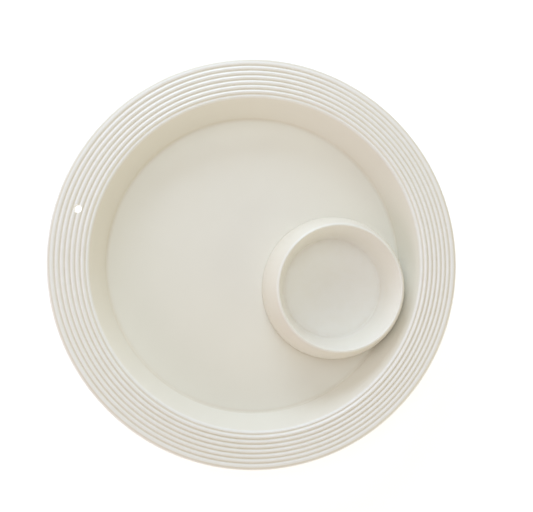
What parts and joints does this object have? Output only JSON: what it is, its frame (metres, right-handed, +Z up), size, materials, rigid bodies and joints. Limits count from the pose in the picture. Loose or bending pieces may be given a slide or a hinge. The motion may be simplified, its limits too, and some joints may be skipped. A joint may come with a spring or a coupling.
{
  "type": "chip and dip server",
  "caption": "Round glazed stoneware platter with a grooved flat rim and a deep well for chips, and a dip bowl that drops into a seat in the well.",
  "frame": {"origin": "middle of the foot ring, on the surface that the platter stands on", "axes": "+Z up out of the well, +X from the platter's middle towards the dip bowl, -X towards the hole in the rim"},
  "size_m": [0.358, 0.358, 0.0455],
  "materials": {
    "platter_glaze": "warm white satin glaze",
    "bowl_glaze": "warm white satin glaze"
  },
  "bodies": {
    "platter": {"platter": "platter_glaze"},
    "dip_bowl": {"dip_bowl": "bowl_glaze"}
  },
  "joints": [
    {"name": "bowl_lift", "type": "slide", "parent": "platter", "child": "dip_bowl", "axis": [0, 0, 1], "range_m": [0, 0.06]}
  ]
}
